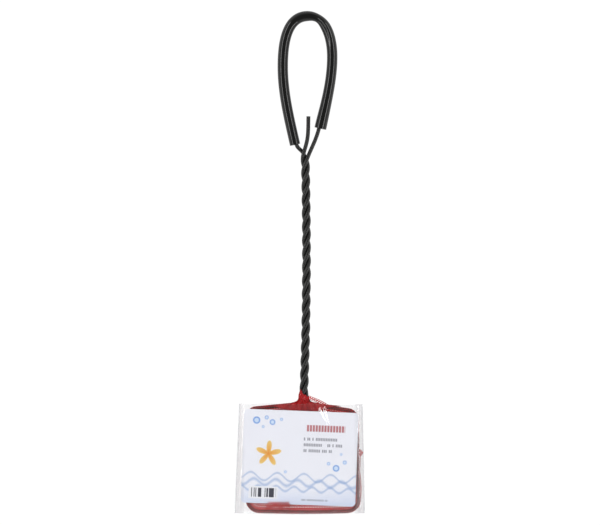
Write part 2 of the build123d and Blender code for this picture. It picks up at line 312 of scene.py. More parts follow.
loop = [
    above_twist(10.75, 21.5, 0, 77.3),
    above_twist(18.55, 68.4, 0, 90),
    above_twist(2.75, 95.0, 0, 180),
    above_twist(-13.75, 61.9, 0, 270),
    above_twist(-5.7, 10.9, 0, 282.7),
]
wire_in_loop = [(point + SLEEVE_OFFSET * np.cross((0, 0, 1), way), way) for point, way in loop]
stub = strand(STUB_PHASE) + [
    above_twist(-0.2, 5.2, CROSSING_HALF_HEIGHT, 74),
    above_twist(2.2, 14.2, CROSSING_HALF_HEIGHT, 80),
    above_twist(3.0, 29.5, CROSSING_HALF_HEIGHT, 88),
]
left_leg = strand(LEFT_PHASE) + [above_twist(-0.2, 5.2, -CROSSING_HALF_HEIGHT, 116)]
print("strand stations", len(strand(0)))

# %% [markdown]
# ## The hoop
#
# The hoop is a rounded rectangle. Its right shoulder slopes more than its left one, and its foot lies a
# little to the left. Its sides are straight wire, so each half takes only five stations: the shoulder,
# and both ends of each corner. One function draws a left half, and the right half is a mirrored one.

# %% Stations of the hoop
HOOP_WIDTH = 76.2
HOOP_FOOT = -34.6
FOOT_BOW = 1.0
FOOT_CORNER = 8.0
SHOULDER = 36.2
SHOULDER_START = 7.0
CASING_RADIUS = 1.8
HOOP_SHIFT = 0.4
LEFT_TOP, LEFT_FOOT, LEFT_SLOPE, LEFT_CORNER = 37.8, HOOP_WIDTH / 2 + HOOP_SHIFT, 5.5, 5.0
RIGHT_TOP, RIGHT_FOOT, RIGHT_SLOPE, RIGHT_CORNER = 35.9, HOOP_WIDTH / 2 - HOOP_SHIFT, 8.4, 6.0


def hoop_half(top_reach, foot_reach, slope, top_corner):
    """Stations of the left half of a hoop, from its shoulder to its foot."""
    half_top = top_reach - CASING_RADIUS
    top_y = SHOULDER - half_top * np.tan(np.radians(slope))
    foot_y = HOOP_FOOT + FOOT_BOW
    lean = np.arctan((foot_reach - top_reach) / (top_y - foot_y - FOOT_CORNER))
    half_foot = half_top + (top_y - foot_y) * np.tan(lean)
    shoulder_way = 180 + slope
    side_way = 270 - np.degrees(lean)
    foot_way = 360 - np.degrees(np.arctan(FOOT_BOW / half_foot))
    upper_cut = top_corner * np.tan(np.radians(side_way - shoulder_way) / 2)
    lower_cut = FOOT_CORNER * np.tan(np.radians(foot_way - side_way) / 2)
    upper = np.array([-half_top, top_y, HOOP_Z])
    lower = np.array([-half_foot, foot_y, HOOP_Z])
    start_y = SHOULDER - SHOULDER_START * np.tan(np.radians(slope))
    return [
        (np.array([-SHOULDER_START, start_y, HANDLE_Z]), heading(shoulder_way)),
        (upper - heading(shoulder_way) * upper_cut, heading(shoulder_way)),
        (upper + heading(side_way) * upper_cut, heading(side_way)),
        (lower - heading(side_way) * lower_cut, heading(side_way)),
        (lower + heading(foot_way) * lower_cut, heading(foot_way)),
    ]


left_half = hoop_half(LEFT_TOP, LEFT_FOOT, LEFT_SLOPE, LEFT_CORNER)
right_mirrored = hoop_half(RIGHT_TOP, RIGHT_FOOT, RIGHT_SLOPE, RIGHT_CORNER)
right_half = [(point * (-1, 1, 1), way * (1, -1, 1)) for point, way in reversed(right_mirrored)]
hoop = left_half + right_half
print("hoop stations", len(hoop))

# %% [markdown]
# ## Sweeping a pipe
#
# A pipe is a ring of points carried along a line. The ring's two axes come from the line's direction
# and from straight up, which works because the wire is never upright. The coating and the vinyl tube
# both have a bore, so the rings go out along the outer skin and come back along the inner one.

# %% Lines and pipes
def smooth_line(stations, step):
    """Cubic Hermite spans through the stations.

    A span leaves one station along its direction and reaches the next along that one's. Its end speed
    is chord / cos^2(turn / 4), which makes a span between two directions of one circle follow it.
    """
    spans = []
    for (start, leave), (end, arrive) in zip(stations, stations[1:]):
        chord = np.linalg.norm(end - start)
        turn = np.arccos(np.clip(leave @ arrive, -1, 1))
        speed = chord / np.cos(turn / 4) ** 2
        t = np.linspace(0, 1, max(2, int(np.ceil(chord / step))), endpoint=False)[:, None]
        ends = (2 * t**3 - 3 * t**2 + 1) * start + (3 * t**2 - 2 * t**3) * end
        spans.append(ends + speed * ((t**3 - 2 * t**2 + t) * leave + (t**3 - t**2) * arrive))
    return np.concatenate([*spans, stations[-1][0][None]])


def length_along(line):
    """Distance from the start of a line to each of its points."""
    return np.concatenate([[0], np.cumsum(np.linalg.norm(np.diff(line, axis=0), axis=1))])


def pipe(line, outer, inner, sides):
    """Pipe along a line: rings of line + r (cos a side + sin a up), out on one skin, back on the other.

    Side is the line's direction crossed with straight up, and up is side crossed with the direction.
    A radius is a number, or an array with a row for each point of the line and a column for each angle.
    """
    angle = np.linspace(0, 2 * np.pi, sides, endpoint=False)
    along = unit(np.gradient(line, axis=0))
    side = unit(np.cross(along, (0, 0, 1)))
    up = np.cross(side, along)
    ring = np.cos(angle)[None, :, None] * side[:, None] + np.sin(angle)[None, :, None] * up[:, None]
    skin = line[:, None] + np.broadcast_to(outer, ring.shape[:2])[..., None] * ring
    bore = line[:, None] + np.broadcast_to(inner, ring.shape[:2])[..., None] * ring
    points = np.concatenate([skin, bore[::-1]])
    return points, grid_faces(len(points), sides, rows_close=True, columns_close=True)


# %% [markdown]
# ## Black coating and bare steel
#
# The wire's skin is satin black plastic, drawn over steel. Up close it has a fine grain and small dull
# patches from handling, so noise drives both its roughness and a very shallow relief. The steel shows
# only at the cut ends.

# %% Finish of the wire
def satin_black():
    """Satin plastic skin of the wire, a little dull in patches."""
    coat = Finish("satin_black_coat")
    patches = coat.noise(260.0, 4.0)
    grain = coat.noise(3200.0, 2.0)
    tone = coat.blend(patches, (0.006, 0.006, 0.0055, 1), (0.016, 0.016, 0.015, 1))
    coat.set(Base_Color=tone, Roughness=coat.ramp(patches, 0.3, 0.7, 0.27, 0.42), Specular_IOR_Level=0.36)
    coat.bump(grain, 0.00002)
    return coat.made


def drawn_steel():
    """Bare wire at the cut ends, finely scratched."""
    steel = Finish("drawn_steel")
    scratch = steel.noise(5200.0, 3.0)
    steel.set(Base_Color=steel.blend(scratch, (0.38, 0.38, 0.39, 1), (0.6, 0.6, 0.61, 1)), Metallic=1.0)
    steel.set(Roughness=steel.ramp(scratch, 0.3, 0.7, 0.25, 0.45))
    steel.bump(scratch, 0.00001)
    return steel.made


# %% [markdown]
# ## The wire
#
# All the stations go into one list in the order in which the wire was bent, so the coating is one
# unbroken pipe of about a metre. The steel inside is the frame's own solid and only takes a finish.

# %% The wire's coating
WIRE_STEP = 0.9
WIRE_SIDES = 18

wire_line = smooth_line(
    backwards(stub) + hoop + strand(RIGHT_PHASE) + wire_in_loop + backwards(left_leg), WIRE_STEP
)
add_piece(
    "wire_skin", *pipe(wire_line, WIRE_RADIUS, CORE_RADIUS, WIRE_SIDES), satin_black(), "net",
    "black_coating", instead_of=["wire_coating"],
)
refinish("wire_core", drawn_steel())
print("wire length in mm", round(length_along(wire_line)[-1], 1))

# %% [markdown]
# ## The vinyl tube
#
# A soft tube is pushed over the finger loop. Bent round the top it can't stay round: it goes oval, and
# past the top on the right a crease runs from its outer side to its inner side. So the radius is an
# array: round, less an oval term, less a groove that wanders round the tube as it goes along. The
# flared right end is flat underneath, where it lies on the table.

# %% Vinyl tube on the finger loop
SLEEVE_RADIUS = 3.45
SLEEVE_WALL = 0.95
SLEEVE_STEP = 0.8
SLEEVE_SIDES = 96
CREASE_RUN = (52.0, 58.0, 66.0, 74.0, 79.0, 83.0)
CREASE_COURSE = np.radians((102, 92, 85, 80, 70, 60))
CREASE_DEPTH = (0.0, 0.22, 0.42, 0.52, 0.5, 0.0)
CREASE_FLANK = 0.26
CREASE_RECOVERY = 1.1
KINK_RUN, KINK_REACH = 75.5, 5.0
INNER_PINCH, OUTER_PINCH = 0.85, 0.45
INNER_SPREAD, OUTER_SPREAD = 0.9, 0.8
END_FLARE, FLARE_REACH = 0.5, 16.0
TABLE_GAP, BORE_GAP = 0.02, 0.05


def bump_at(value, centre, reach):
    """Bell curve of height one."""
    return np.exp(-(((value - centre) / reach) ** 2))


def sleeve_radius(line):
    """Radius of the tube: round, with a flare at its right end, less the pinch and the creeping crease.

    Angle 0 is the outer side of the loop, 90 degrees its top and 180 degrees its inner side. The crease
    drops by a depth over a short flank and recovers slowly towards the inner side. It creeps to the
    outer side as it climbs to the kink.
    """
    angle = np.linspace(0, 2 * np.pi, SLEEVE_SIDES, endpoint=False)[None]
    run = length_along(line)[:, None]
    kink = bump_at(run, KINK_RUN, KINK_REACH)
    outer_side = bump_at(angle, 0, OUTER_SPREAD) + bump_at(angle, 2 * np.pi, OUTER_SPREAD)
    pinch = kink * (INNER_PINCH * bump_at(angle, np.pi, INNER_SPREAD) + OUTER_PINCH * outer_side)
    course = np.interp(run, CREASE_RUN, CREASE_COURSE)
    depth = np.interp(run, CREASE_RUN, CREASE_DEPTH)
    flank = np.clip((angle - course) / CREASE_FLANK, 0, 1)
    recovery = np.clip((angle - course - CREASE_FLANK) / CREASE_RECOVERY, 0, 1)
    flare = END_FLARE * bump_at(run, 0, FLARE_REACH)
    return SLEEVE_RADIUS + flare - pinch - depth * (flank - recovery)


def glossy_vinyl():
    """Soft black vinyl: glossy, with faint smears and a few dust marks."""
    vinyl = Finish("glossy_black_vinyl")
    smear = vinyl.noise(140.0, 3.0)
    dust = vinyl.ramp(vinyl.noise(2600.0, 1.0), 0.72, 0.8)
    vinyl.set(Base_Color=vinyl.blend(dust, (0.003, 0.003, 0.0028, 1), (0.018, 0.018, 0.018, 1)))
    vinyl.set(Roughness=vinyl.ramp(smear, 0.3, 0.7, 0.07, 0.12), Specular_IOR_Level=0.42)
    vinyl.bump(vinyl.noise(420.0, 2.0), 0.00003)
    return vinyl.made


sleeve_line = smooth_line(loop, SLEEVE_STEP)
outer_radius = sleeve_radius(sleeve_line)
bore_radius = np.maximum(outer_radius - SLEEVE_WALL, SLEEVE_OFFSET + WIRE_RADIUS + BORE_GAP)
sleeve_points, sleeve_faces = pipe(sleeve_line, outer_radius, bore_radius, SLEEVE_SIDES)
sleeve_points[..., 2] = np.maximum(sleeve_points[..., 2], TABLE_GAP)
add_piece(
    "finger_loop_tube", sleeve_points, sleeve_faces, glossy_vinyl(), "net", "black_vinyl",
    instead_of=["grip_sleeve"],
)
print("tube length in mm", round(length_along(sleeve_line)[-1], 1))

# %% [markdown]
# ## Netting
#
# The bag is fine knitted nylon. Its loops make small six-sided holes, about 1.6 mm apart. An image with
# holes would show no thickness, so the holes are real: a flat sheet of hexagon cells, each with a
# smaller hexagon cut out, is knitted together in two dimensions and then laid on any surface.

# %% Flat netting
CELL_SIDE = 0.95
HOLE_SHARE = 0.71
NET_WALL = 0.32
ROOT_3 = np.sqrt(3)


def net_cells(length, width, side=CELL_SIDE, hole=HOLE_SHARE):
    """Corners and hole corners of the cells, in staggered rows, stretched to fill length by width.

    Cell (i, j) has its middle at ((i + half of j odd) root3 side, 1.5 j side) and its six corners at
    one side from it. The hole's corners lie on the same spokes, at a share of that.
    """
    columns = max(2, round(length / (ROOT_3 * side)))
    rows = max(2, round(width / (1.5 * side)))
    i, j = np.meshgrid(np.arange(columns), np.arange(rows), indexing="ij")
    middle = np.stack([ROOT_3 * (i + 0.5 * (j % 2)), 1.5 * j + 1.0], axis=-1).reshape(-1, 1, 2)
    spoke = np.radians(30 + 60 * np.arange(6))
    spokes = np.stack([np.cos(spoke), np.sin(spoke)], axis=1)
    scale = np.array([length / (ROOT_3 * columns), width / (1.5 * rows + 0.5)])
    return (middle + spokes) * scale, (middle + hole * spokes) * scale


def knit(corners, holes, around=None):
    """Points and faces of netting: a frame of six quads a cell, on corners that neighbours share.

    Where the sheet closes on itself, around is its length and corners past the end meet the start.
    """
    places = np.round(corners.reshape(-1, 2), 4)
    if around:
        places[:, 0] = np.where(places[:, 0] > around - 0.01, places[:, 0] - around, places[:, 0])
    shared, index = np.unique(np.round(places, 3), axis=0, return_inverse=True)
    outer = index.reshape(-1, 6)
    inner = len(shared) + np.arange(holes.size // 2).reshape(-1, 6)
    faces = np.stack([outer, np.roll(outer, -1, 1), np.roll(inner, -1, 1), inner], axis=-1)
    return np.concatenate([shared, holes.reshape(-1, 2)]), faces.reshape(-1, 4)


def red_nylon(name, dark, light):
    """Knitted nylon: two reds by fine noise, a soft sheen and the relief of the filaments."""
    nylon = Finish(name)
    filaments = nylon.noise(2600.0, 2.0)
    patches = nylon.noise(120.0, 2.0)
    tone = nylon.blend(nylon.ramp(nylon.sum("ADD", filaments, patches), 0.7, 1.3), dark, light)
    nylon.set(Base_Color=tone, Roughness=nylon.ramp(filaments, 0.3, 0.7, 0.42, 0.6))
    nylon.set(Sheen_Weight=0.03, Sheen_Roughness=0.4, Sheen_Tint=(1.0, 0.4, 0.4, 1))
    nylon.set(Specular_IOR_Level=0.3)
    nylon.bump(filaments, 0.00005)
    return nylon.made


netting = red_nylon("red_nylon_net", (0.36, 0.004, 0.005, 1), (0.62, 0.008, 0.01, 1))
print("netting pitch in mm", round(ROOT_3 * CELL_SIDE, 2))

# %% [markdown]
# ## The hem on the hoop
#
# The mouth of the bag is folded round the wire and sewn down inside it. It is one strip: an upper ply,
# a turn round the wire and a lower ply. Its cross-section is a formula of the distance across the
# strip, carried along the hoop. Over the wire the holes are stretched and the black wire shows
# through them; just inside it the two plies are pressed together, and the holes nearly close.

# %% Hem folded round the wire
HEM_RADIUS = 1.46
HEM_WALL = 0.22
STRETCHED_HOLE, SEAM_HOLE, PLY_HOLE = 0.84, 0.25, 0.5
SEAM_WIDTH = 1.4
HEM_GRIP = np.radians(35)
BAND_INNER_EDGE = 6.5
PLY_LIFT = 0.2
ARC_HALF = HEM_RADIUS * (np.pi - HEM_GRIP)
PLY_RUN = BAND_INNER_EDGE - HEM_RADIUS * np.cos(HEM_GRIP)
PLY_LENGTH = np.hypot(PLY_RUN, HEM_RADIUS * np.sin(HEM_GRIP) - PLY_LIFT)
HEM_WIDTH = 2 * (ARC_HALF + PLY_LENGTH)
PUCKER_LENGTH = 3.0
PUCKER_HEIGHT = 0.13
HOOP_STEP = 0.6

hoop_line = smooth_line(hoop, HOOP_STEP)
hoop_run = length_along(hoop_line)
hoop_inward = unit(np.cross((0, 0, 1), np.gradient(hoop_line, axis=0)))
HOOP_LENGTH = hoop_run[-1]


def on_hoop(distance, inward, height):
    """Points beside the hoop wire: so far along it, then so far inward and up from its middle."""
    middle = np.stack([np.interp(distance, hoop_run, hoop_line[:, k]) for k in range(3)], axis=-1)
    way = np.stack([np.interp(distance, hoop_run, hoop_inward[:, k]) for k in range(3)], axis=-1)
    return middle + unit(way) * inward[..., None] + height[..., None] * np.array([0, 0, 1.0])


def hem_section(across, along):
    """Inward and upward place of a point of the strip.

    Up to ARC_HALF from its middle the strip turns round the wire; past that each ply runs straight to
    the band's inner edge, with a small pucker between stitches.
    """
    from_middle = np.abs(across - HEM_WIDTH / 2)
    ply = np.where(across < HEM_WIDTH / 2, 1.0, -1.0)
    turn = np.pi - np.minimum(from_middle, ARC_HALF) / HEM_RADIUS
    share = np.clip((from_middle - ARC_HALF) / PLY_LENGTH, 0, 1)
    pucker = PUCKER_HEIGHT * share * np.sin(2 * np.pi * along / PUCKER_LENGTH + ply)
    inward = (1 - share) * HEM_RADIUS * np.cos(turn) + share * BAND_INNER_EDGE
    return inward, ply * ((1 - share) * HEM_RADIUS * np.sin(turn) + share * PLY_LIFT) + pucker


hem_corners, hem_holes = net_cells(HOOP_LENGTH, HEM_WIDTH, hole=PLY_HOLE)
from_fold = np.abs(hem_holes.mean(axis=1)[:, 1] - HEM_WIDTH / 2)[:, None, None]
for hole, reach in ((SEAM_HOLE, ARC_HALF + SEAM_WIDTH), (STRETCHED_HOLE, ARC_HALF)):
    hem_holes = np.where(from_fold < reach, net_cells(HOOP_LENGTH, HEM_WIDTH, hole=hole)[1], hem_holes)
hem_flat, hem_faces = knit(hem_corners, hem_holes)
hem_points = on_hoop(hem_flat[:, 0], *hem_section(hem_flat[:, 1], hem_flat[:, 0]))
hem_solids = ["rim_casing", "hem_band"]
hem = add_piece("hem", hem_points, hem_faces, netting, "net", "red_netting", hem_solids, HEM_WALL)
print("hem strip in mm", round(HEM_WIDTH, 1), "by", round(HOOP_LENGTH, 1))

# %% [markdown]
# ## Stitches
#
# A row of straight stitches closes the hem. Each one is a short thread that bows up between the two
# holes it dives into: a thin pipe, fattest at its middle, repeated along the hoop by adding the start
# of each stitch to one shared array.

# %% Stitches along the hem
STITCH_PITCH = 3.0
STITCH_LENGTH = 2.1
STITCH_RADIUS, STITCH_TAPER = 0.2, 0.96
STITCH_LIFT, STITCH_BOW = 0.45, 0.3
STITCH_INSET = 4.1
STITCH_RINGS = 9
STITCH_SIDES = 8

stitch_starts = np.arange(STITCH_PITCH / 2, HOOP_LENGTH - STITCH_PITCH / 2, STITCH_PITCH)[:, None, None]
share = np.linspace(-1, 1, STITCH_RINGS)[None, :, None]
around = np.linspace(0, 2 * np.pi, STITCH_SIDES, endpoint=False)[None, None]
thread_radius = STITCH_RADIUS * np.sqrt(1 - STITCH_TAPER * share**6)
stitch_along = stitch_starts + share * STITCH_LENGTH / 2 + 0 * around
stitch_inward = STITCH_INSET + thread_radius * np.cos(around) + 0 * stitch_starts
stitch_height = STITCH_LIFT + STITCH_BOW * (1 - share**2) + thread_radius * np.sin(around)
stitch_points = on_hoop(stitch_along, stitch_inward, stitch_height + 0 * stitch_starts)
one_stitch = grid_faces(STITCH_RINGS, STITCH_SIDES, columns_close=True)[:, ::-1]
first_points = STITCH_RINGS * STITCH_SIDES * np.arange(len(stitch_starts))[:, None, None]
stitch_faces = (one_stitch + first_points).reshape(-1, 4)
thread = red_nylon("red_thread", (0.36, 0.012, 0.018, 1), (0.58, 0.03, 0.04, 1))
add_piece("stitches", stitch_points, stitch_faces, thread, "net", "red_thread", ["hem_stitches"])
print("stitches", len(stitch_starts))

# %% [markdown]
# ## The collapsed pocket
#
# The bag lies flat under the hoop. Seen from above it fills the hoop's outline, so cells whose middle
# falls outside are dropped. Its height is a sum: a wall that drops from the hem to the table, puckers
# that fade away from the hem, and a few long leaning folds in the slack cloth.

# %% Pocket of netting
POCKET_RIM = 4.2
POCKET_RIM_DROP = 0.45
POCKET_FLOOR, POCKET_HEADROOM = 0.75, 0.2
WALL_REACH = 9.0
RIM_PUCKERS, RIM_PUCKER_RISE, RIM_PUCKER_REACH = 34, 0.45, 4.0
FOLDS = (
    # angle of the fold's run in degrees, distance between folds, height, shift, lean
    (62.0, 21.0, 2.6, 0.4, 2.2),
    (-38.0, 27.0, 1.9, 2.1, -1.6),
    (8.0, 13.0, 0.8, 1.2, 0.8),
)
FOLD_BEND, FOLD_BEND_RUN = 2.5, 11.0


def hoop_distance(places):
    """How far inside the hoop wire each place in plan lies, negative outside it."""
    across_neck = np.linspace(hoop_line[-1], hoop_line[0], 12)[1:-1, :2]
    edge = np.concatenate([hoop_line[::2, :2], across_neck])
    inward = np.concatenate([hoop_inward[::2, :2], np.tile((0.0, -1.0), (len(across_neck), 1))])
    apart = places[:, None] - edge[None]
    nearest = np.argmin((apart**2).sum(axis=2), axis=1)
    pick = np.arange(len(places))
    sign = np.sign((apart[pick, nearest] * inward[nearest]).sum(axis=1))
    return sign * np.linalg.norm(apart[pick, nearest], axis=1)


def smooth_step(value):
    """0 below 0, 1 above 1, and 3 v^2 - 2 v^3 between."""
    clipped = np.clip(value, 0, 1)
    return 3 * clipped**2 - 2 * clipped**3


def lay_pocket(places):
    """Points of the pocket over places in plan: wall, puckers and leaning folds.

    A fold is ((1 + sin) / 2)^2 of the distance across its run, bent a little by a slower wave, and its
    crest leans over by its lean, so that the netting overlaps itself there.
    """
    inside = hoop_distance(places)
    slack = smooth_step((inside - POCKET_RIM) / WALL_REACH)
    height = HOOP_Z - POCKET_RIM_DROP - (HOOP_Z - POCKET_RIM_DROP - POCKET_FLOOR) * slack
    angle = np.arctan2(places[:, 1], places[:, 0])
    near_hem = bump_at(inside, POCKET_RIM + RIM_PUCKER_REACH, RIM_PUCKER_REACH)
    height = height + RIM_PUCKER_RISE * np.sin(RIM_PUCKERS * angle) * near_hem
    shift = np.zeros_like(places)
    for degrees, spacing, rise, start, lean in FOLDS:
        way = heading(degrees + 90)[:2]
        along = places @ heading(degrees)[:2]
        bend = FOLD_BEND * np.sin(along / FOLD_BEND_RUN + start)
        phase = 2 * np.pi * (places @ way + bend) / spacing + start
        crest = ((1 + np.sin(phase)) / 2) ** 2 * slack
        height = height + rise * crest
        shift = shift + lean * crest[:, None] * way
    return np.concatenate([places + shift, np.minimum(height, HOOP_Z - POCKET_HEADROOM)[:, None]], axis=1)


cell_corners, cell_holes = net_cells(HOOP_WIDTH, HOOP_WIDTH)
hoop_corner = np.array([-HOOP_WIDTH / 2, HOOP_FOOT])
cell_middles = cell_holes.mean(axis=1) + hoop_corner
kept = hoop_distance(cell_middles) > POCKET_RIM
pocket_flat, pocket_faces = knit(cell_corners[kept], cell_holes[kept])
pocket_points = lay_pocket(pocket_flat + hoop_corner)
pocket = add_piece(
    "pocket", pocket_points, pocket_faces, netting, "net", "red_netting", ["net_pocket"], NET_WALL
)
pocket_area = kept.sum() * HOOP_WIDTH**2 / len(kept)

# %% [markdown]
# ## The gathered neck
#
# At the neck the hem's ends are drawn up round the twisted wire in tight pleats. The bunched cloth is a
# trumpet whose radius ripples, slanting from its left side down to its right. Its holes are nearly
# closed, because the cloth is pushed together there.

# %% Trumpet of netting round the neck
GATHER_CLOTH = 36.0
BUNCHED_SIDE, BUNCHED_HOLE = 0.7, 0.4
GATHER_RADIUS = 3.25
GATHER_RISES = np.array([7.6, 4.4, 2.2, 1.1, 0.2])
GATHER_WIDER = np.array([0.0, 0.1, 0.6, 2.4, 6.0])
GATHER_FLATTER = np.array([0.0, 0.0, 0.2, 0.4, 0.6])
GATHER_SLANT = 1.5
GATHER_CREST, GATHER_SAG = 2.6, 1.8
PLEATS, PLEAT_DEPTH, PLEAT_GROWTH = 15, 0.16, 0.5
gather_run = length_along(np.stack([GATHER_RISES, GATHER_WIDER], axis=1))
GATHER_LENGTH = gather_run[-1]


def lay_gather(flat):
    """Points of the trumpet: an oval that widens downwards, with PLEATS ripples round it.

    Its upper edge slants down to the right and stands up in a crest left of the wire.
    """
    angle = 2 * np.pi * flat[:, 0] / GATHER_CLOTH
    rise = np.interp(flat[:, 1], gather_run, GATHER_RISES)
    wider = np.interp(flat[:, 1], gather_run, GATHER_WIDER)
    flatter = np.interp(flat[:, 1], gather_run, GATHER_FLATTER)
    ripple = (PLEAT_DEPTH + PLEAT_GROWTH * smooth_step(1 - rise / 6)) * np.cos(PLEATS * angle + 0.4 * rise)
    x = (GATHER_RADIUS + wider + ripple) * np.sin(angle)
    z = (GATHER_RADIUS - flatter + ripple) * np.cos(angle)
    side = np.sin(angle)
    crest = GATHER_CREST * bump_at(side, -0.6, 0.3) - GATHER_SAG * bump_at(side, -1.0, 0.25)
    edge = (crest - GATHER_SLANT * (1 + side)) * rise / GATHER_RISES[0]
    y = SHOULDER + rise + 0.3 * np.sin(5 * angle) + edge
    return np.stack([x, y, HANDLE_Z + z], axis=1)


# The bunched cloth takes a darker copy of the netting's red. The darker red is painted shade, standing in
# for the shadows among its pleats and layers.
painted_pleat_shade_nylon = red_nylon("red_nylon_painted_pleat_shade", (0.28, 0.003, 0.004, 1), (0.47, 0.006, 0.008, 1))
gather_cells = net_cells(GATHER_CLOTH, GATHER_LENGTH, BUNCHED_SIDE, BUNCHED_HOLE)
gather_flat, gather_faces = knit(*gather_cells, around=GATHER_CLOTH)
gather = add_piece(
    "gathered_neck", lay_gather(gather_flat), gather_faces, painted_pleat_shade_nylon, "net", "red_netting", ["neck_gather"],
    NET_WALL,
)

# %% [markdown]
# ## Pleats between the shoulders
#
# Below the neck the bag spreads out between the shoulders of the hoop, in pleats that start from one
# point above it. Two plies lie over the wire there and one under it. Polar coordinates about that point
# suit a fan: the angle runs along the cloth and the distance across it.

# %% Fan of pleats below the neck
FAN_POINT = 47.0
FAN_HALF_ANGLE = np.radians(63)
FAN_TOP = 37.6
FAN_DROP = 8.0
FAN_PLEATS = 11
FAN_PLIES = ((2.55, 0.45, 0.0), (1.75, 0.4, 1.1), (-1.9, 0.4, 2.3))
FAN_CLOTH = (52.0, 9.0)
FAN_FADE = 2.5
FAN_HOLE = 0.3
WIRE_DESCENT = 22.0


def lay_fan(flat, lift, ripple, phase):
    """Points of one ply of the fan, by angle from straight down and distance from FAN_POINT.

    Its upper edge follows the shoulders, its depth fades towards both ends, and its height over the
    wire ripples with the angle.
    """
    angle = FAN_HALF_ANGLE * (2 * flat[:, 0] / FAN_CLOTH[0] - 1)
    slope = np.tan(np.radians(LEFT_SLOPE + RIGHT_SLOPE) / 2)
    upper = (FAN_POINT - FAN_TOP) / (np.cos(angle) - slope * np.abs(np.sin(angle)))
    fade = 1 - np.abs(angle / FAN_HALF_ANGLE) ** FAN_FADE
    depth = FAN_DROP * np.maximum(fade, 0.02) * flat[:, 1] / FAN_CLOTH[1]
    reach = upper + depth
    x = reach * np.sin(angle)
    y = FAN_POINT - reach * np.cos(angle)
    wire_z = HANDLE_Z + (HOOP_Z - HANDLE_Z) * smooth_step((np.abs(x) - SHOULDER_START) / WIRE_DESCENT)
    z = wire_z + lift * (1 - 0.35 * smooth_step(depth / FAN_DROP))
    z = z + ripple * np.sin(FAN_PLEATS * angle * 2 + phase) + 0.2 * np.sin(1.7 * x + phase)
    return np.stack([x, y, z], axis=1)


fan_flat, fan_one = knit(*net_cells(*FAN_CLOTH, BUNCHED_SIDE, FAN_HOLE))
fan_points = np.concatenate([lay_fan(fan_flat, *ply) for ply in FAN_PLIES])
fan_faces = np.concatenate([fan_one + len(fan_flat) * ply for ply in range(len(FAN_PLIES))])
# The fan takes the same darker red: painted shade among its pleats.
fan = add_piece("neck_pleats", fan_points, fan_faces, painted_pleat_shade_nylon, "net", "red_netting", wall=NET_WALL)
fan_cut = np.array([FAN_CLOTH[0], len(FAN_PLIES) * FAN_CLOTH[1]]) * MM
fan_area = fan_cut.prod() * (1 - 1 / (FAN_FADE + 1))

# %% [markdown]
# ## Loose edges of netting
#
# Four scraps of the bag show outside the hem: the selvedge that stands off the right shoulder, a strip
# pushed out past the right side of the hoop with a tuft at its top, and a fold that lies over the card's
# lower edge. Each is a narrow sheet of netting laid by a short formula. The fold gets a mesh of its own.

# %% Selvedge, side strip, tuft and turned-up fold
SCRAP_SIDE, SCRAP_HOLE = 0.78, 0.62
SELVEDGE_FROM = np.array([2.9, 40.4])
SELVEDGE_TO = np.array([16.5, 35.3])
SELVEDGE_RUN = SELVEDGE_TO - SELVEDGE_FROM
SELVEDGE_LENGTH = float(np.linalg.norm(SELVEDGE_RUN))
SELVEDGE_WIDTH = 2.6
STRIP_TOP, STRIP_FOOT, STRIP_BUNCH = 6.5, -31.0, 4.0
STRIP_WIDTH = 2.0
TUFT_MIDDLE = (36.65, 4.1)
TUFT_RADII = (1.35, 2.1, 1.3)
TUFT_HOLE = 0.25
TUFT_CLOTH = (9.5, 6.4)
FLAP_LEFT, FLAP_RIGHT = -24.5, -8.5
FLAP_FOOT, FLAP_TOP = -33.0, -27.6
FLAP_START, FLAP_RISE = 1.7, 7.85
CARD_EDGE = -30.6


def lay_selvedge(flat):
    """A strip from the neck down the right shoulder, standing out from it and waving in height."""
    outward = np.array([-SELVEDGE_RUN[1], SELVEDGE_RUN[0]]) / SELVEDGE_LENGTH
    along = flat[:, 0:1] / SELVEDGE_LENGTH
    edge = flat[:, 1:2] * (1 - 0.5 * along**3)
    plan = SELVEDGE_FROM + along * SELVEDGE_RUN + outward * (edge - 1.2)
    z = HANDLE_Z + 2.1 - 0.35 * edge[:, 0] + 0.35 * np.sin(1.9 * flat[:, 0]) + 1.1 * along[:, 0]
    return np.concatenate([plan, z[:, None]], axis=1)


def lay_strip(flat):
    """Netting pushed out past the right side of the hoop, bunched where it starts at the top."""
    on_right = hoop_line[:, 0] > RIGHT_TOP - CASING_RADIUS
    right_side = hoop_line[on_right]
    distances = hoop_run[on_right]
    rising = np.argsort(right_side[:, 1])
    y = STRIP_TOP - flat[:, 0]
    distance = np.interp(y, right_side[rising, 1], distances[rising])
    bunch = bump_at(y, STRIP_BUNCH, 1.5)
    out = HEM_RADIUS * 0.8 + flat[:, 1] * (0.35 + 0.2 * np.sin(0.33 * flat[:, 0]) + 0.95 * bunch)
    return on_hoop(distance, -out, (0.5 + 0.9 * bunch) * np.sin(1.3 * flat[:, 0]) - 0.15 * flat[:, 1])


def lay_flap(flat):
    """A fold of the hem that climbs past the card's lower edge and lies back over it."""
    x = FLAP_LEFT + flat[:, 0]
    ends = np.clip(4 * np.sin(np.pi * flat[:, 0] / (FLAP_RIGHT - FLAP_LEFT)), 0, 1)
    y = FLAP_FOOT + flat[:, 1] * (0.55 + 0.45 * ends)
    climb = smooth_step((y - FLAP_FOOT) / (CARD_EDGE - FLAP_FOOT))
    z = HOOP_Z + FLAP_START + (FLAP_RISE - HOOP_Z - FLAP_START) * climb + 0.1 * np.sin(1.6 * x)
    return np.stack([x, y, z], axis=1)


